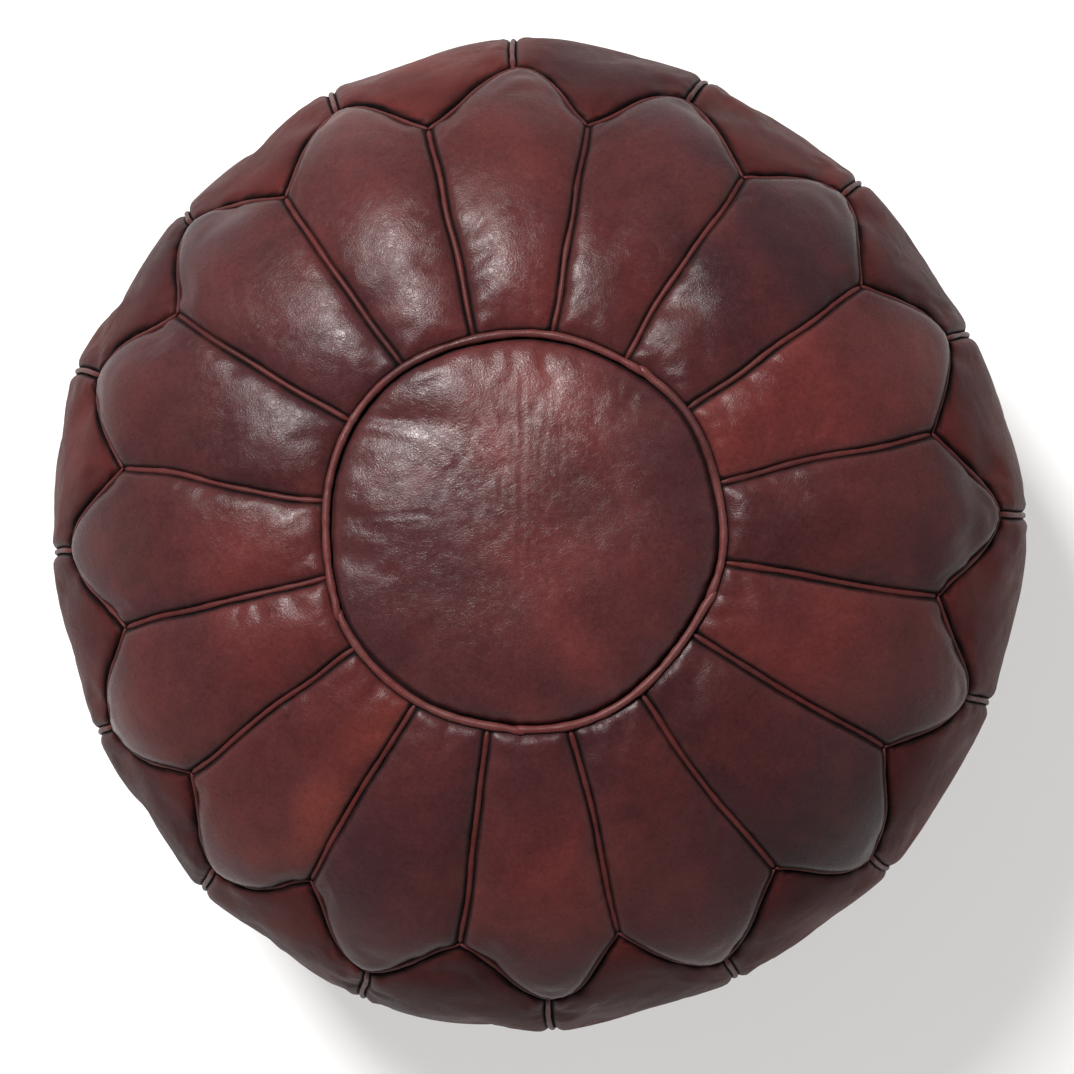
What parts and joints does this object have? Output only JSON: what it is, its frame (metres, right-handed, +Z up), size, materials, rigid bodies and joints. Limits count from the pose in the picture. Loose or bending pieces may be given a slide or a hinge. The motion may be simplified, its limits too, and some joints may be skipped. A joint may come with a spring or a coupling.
{
  "type": "moroccan leather pouf",
  "caption": "Round stuffed leather pouf: petal-shaped panels around a disc on top, side panels with welted seams, and a zipped underside for the stuffing.",
  "frame": {"origin": "centre of the underside, on the floor", "axes": "+Z up; +X along the zip, towards its closed end; petals are centred on multiples of 22.5 degrees from +X"},
  "size_m": [0.5228, 0.5228, 0.33],
  "materials": {
    "medallion_leather": "hand-dyed goatskin, waxed satin, plum and red-brown",
    "petal_leather": "hand-dyed goatskin, waxed satin, plum to rust",
    "side_leather": "hand-dyed goatskin, waxed satin, plum brown",
    "welt_leather": "folded leather strip, worn lighter than the panels",
    "base_leather": "plain goatskin, matt",
    "zip_tape": "woven tape, matt",
    "zip_metal": "aged brass, worn bright on the high edges",
    "thread": "waxed thread",
    "stuffing": "packed cotton wadding, matt"
  },
  "bodies": {
    "cover": {"medallion": "medallion_leather", "medallion_piping": "welt_leather", "petal_01": "petal_leather", "petal_02": "petal_leather", "petal_03": "petal_leather", "petal_04": "petal_leather", "petal_05": "petal_leather", "petal_06": "petal_leather", "petal_07": "petal_leather", "petal_08": "petal_leather", "petal_09": "petal_leather", "petal_10": "petal_leather", "petal_11": "petal_leather", "petal_12": "petal_leather", "petal_13": "petal_leather", "petal_14": "petal_leather", "petal_15": "petal_leather", "petal_16": "petal_leather", "petal_welts": "welt_leather", "scallop_welt": "welt_leather", "side_panel_01": "side_leather", "side_panel_02": "side_leather", "side_panel_03": "side_leather", "side_panel_04": "side_leather", "side_panel_05": "side_leather", "side_panel_06": "side_leather", "side_panel_07": "side_leather", "side_panel_08": "side_leather", "side_panel_09": "side_leather", "side_panel_10": "side_leather", "side_panel_11": "side_leather", "side_panel_12": "side_leather", "side_panel_13": "side_leather", "side_panel_14": "side_leather", "side_panel_15": "side_leather", "side_panel_16": "side_leather", "side_welts": "welt_leather", "base_welt": "welt_leather", "base_panel_front": "base_leather", "base_panel_back": "base_leather", "stuffing": "stuffing", "zip_tape_front": "zip_tape", "zip_tape_back": "zip_tape", "zip_teeth_front": "zip_metal", "zip_teeth_back": "zip_metal", "zip_top_stops": "zip_metal", "zip_bottom_stop": "zip_metal", "zip_stitching": "thread"},
    "zip_slider": {"zip_slider": "zip_metal"},
    "zip_pull": {"zip_pull": "zip_metal"}
  },
  "joints": [
    {"name": "zip_slide", "type": "slide", "parent": "cover", "child": "zip_slider", "axis": [-1, 0, 0], "range_m": [0, 0.27]},
    {"name": "pull_swing", "type": "hinge", "parent": "zip_slider", "child": "zip_pull", "pos_m": [0.135, 0, 0.00745], "axis": [0, -1, 0], "range_deg": [-12, 120]}
  ]
}
